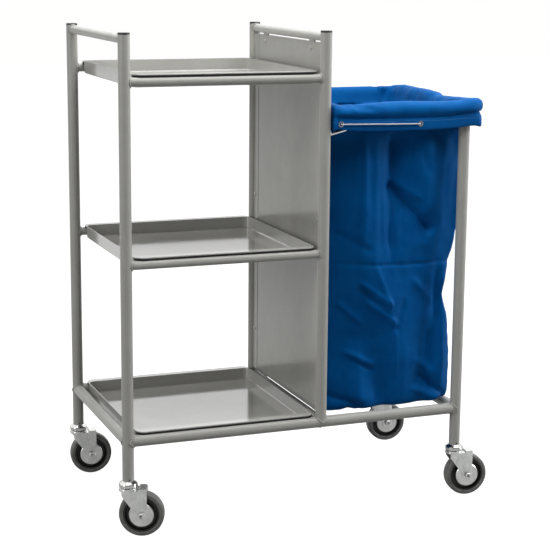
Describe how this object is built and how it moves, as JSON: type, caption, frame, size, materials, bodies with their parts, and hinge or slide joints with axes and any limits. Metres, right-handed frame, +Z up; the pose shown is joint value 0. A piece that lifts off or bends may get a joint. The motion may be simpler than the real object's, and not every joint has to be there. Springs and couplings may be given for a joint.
{
  "type": "housekeeping cart",
  "caption": "Welded tube housekeeping cart with lift-out trays, a divider panel, a hanging cloth laundry bag and swivel casters.",
  "frame": {"origin": "on the floor at the centre of the footprint", "axes": "+X along the front from the trays to the laundry bag, +Y to the rear, +Z up"},
  "size_m": [0.8968, 0.5102, 1.091],
  "materials": {
    "frame_paint": "warm light grey powder coat, semi-gloss",
    "panel_paint": "warm light grey powder coat, semi-gloss",
    "tray_paint": "warm light grey powder coat, glossy",
    "cap_plastic": "black, slightly satin",
    "strip_rubber": "black rubber strip",
    "screw_steel": "zinc plated",
    "hoop_chrome": "bright plated rod",
    "bag_cloth": "blue woven cloth",
    "eyelet_nickel": "nickel plated",
    "cord": "pale braided cord",
    "caster_zinc": "bright zinc plated pressed steel",
    "caster_head_zinc": "bright zinc plated",
    "axle_zinc": "zinc plated hex bolt",
    "guard_zinc": "zinc plated disc",
    "wheel_plastic": "black moulded",
    "tyre_rubber": "grey rubber",
    "ball_steel": "polished balls"
  },
  "bodies": {
    "frame": {"post_front_left": "frame_paint", "post_rear_left": "frame_paint", "post_front_right": "frame_paint", "post_rear_right": "frame_paint", "post_front_mid": "frame_paint", "post_rear_mid": "frame_paint", "handle_left": "frame_paint", "handle_mid": "frame_paint", "base_rail_front": "frame_paint", "base_rail_rear": "frame_paint", "base_rail_left": "frame_paint", "base_rail_mid": "frame_paint", "base_rail_right": "frame_paint", "top_shelf_rail_front": "frame_paint", "top_shelf_rail_rear": "frame_paint", "middle_shelf_rail_front": "frame_paint", "middle_shelf_rail_rear": "frame_paint", "post_cap_front_left": "cap_plastic", "post_cap_rear_left": "cap_plastic", "post_cap_front_mid": "cap_plastic", "post_cap_rear_mid": "cap_plastic", "tray_top": "tray_paint", "tray_strips_top": "strip_rubber", "tray_middle": "tray_paint", "tray_strips_middle": "strip_rubber", "tray_bottom": "tray_paint", "tray_strips_bottom": "strip_rubber", "divider_panel": "panel_paint", "panel_lugs": "frame_paint", "panel_screws": "screw_steel", "bag_hoop": "hoop_chrome", "laundry_bag": "bag_cloth", "bag_eyelets": "eyelet_nickel", "bag_drawcord": "cord", "caster_front_left_head": "caster_head_zinc", "caster_rear_left_head": "caster_head_zinc", "caster_front_right_head": "caster_head_zinc", "caster_rear_right_head": "caster_head_zinc", "stem_screws": "screw_steel", "swivel_balls": "ball_steel"},
    "fork_front_left": {"caster_front_left_fork": "caster_zinc", "caster_front_left_axle": "axle_zinc", "caster_front_left_thread_guards": "guard_zinc"},
    "wheel_front_left": {"caster_front_left_wheel": "wheel_plastic", "caster_front_left_tyre": "tyre_rubber"},
    "fork_rear_left": {"caster_rear_left_fork": "caster_zinc", "caster_rear_left_axle": "axle_zinc", "caster_rear_left_thread_guards": "guard_zinc"},
    "wheel_rear_left": {"caster_rear_left_wheel": "wheel_plastic", "caster_rear_left_tyre": "tyre_rubber"},
    "fork_front_right": {"caster_front_right_fork": "caster_zinc", "caster_front_right_axle": "axle_zinc", "caster_front_right_thread_guards": "guard_zinc"},
    "wheel_front_right": {"caster_front_right_wheel": "wheel_plastic", "caster_front_right_tyre": "tyre_rubber"},
    "fork_rear_right": {"caster_rear_right_fork": "caster_zinc", "caster_rear_right_axle": "axle_zinc", "caster_rear_right_thread_guards": "guard_zinc"},
    "wheel_rear_right": {"caster_rear_right_wheel": "wheel_plastic", "caster_rear_right_tyre": "tyre_rubber"}
  },
  "joints": [
    {"name": "swivel_front_left", "type": "hinge", "parent": "frame", "child": "fork_front_left", "pos_m": [-0.42573, -0.21544, 0.1055], "axis": [0, 0, 1], "continuous": true},
    {"name": "spin_front_left", "type": "hinge", "parent": "fork_front_left", "child": "wheel_front_left", "pos_m": [-0.39866, -0.22584, 0.05], "axis": [0.3584, 0.9336, 0], "continuous": true},
    {"name": "swivel_rear_left", "type": "hinge", "parent": "frame", "child": "fork_rear_left", "pos_m": [-0.42573, 0.23256, 0.1055], "axis": [0, 0, 1], "continuous": true},
    {"name": "spin_rear_left", "type": "hinge", "parent": "fork_rear_left", "child": "wheel_rear_left", "pos_m": [-0.39695, 0.22902, 0.05], "axis": [0.1219, 0.9925, 0], "continuous": true},
    {"name": "swivel_front_right", "type": "hinge", "parent": "frame", "child": "fork_front_right", "pos_m": [0.36927, -0.21544, 0.1055], "axis": [0, 0, 1], "continuous": true},
    {"name": "spin_front_right", "type": "hinge", "parent": "fork_front_right", "child": "wheel_front_right", "pos_m": [0.39805, -0.21898, 0.05], "axis": [0.1219, 0.9925, 0], "continuous": true},
    {"name": "swivel_rear_right", "type": "hinge", "parent": "frame", "child": "fork_rear_right", "pos_m": [0.36927, 0.23256, 0.1055], "axis": [0, 0, 1], "continuous": true},
    {"name": "spin_rear_right", "type": "hinge", "parent": "fork_rear_right", "child": "wheel_rear_right", "pos_m": [0.39816, 0.23003, 0.05], "axis": [0.0872, 0.9962, 0], "continuous": true}
  ]
}
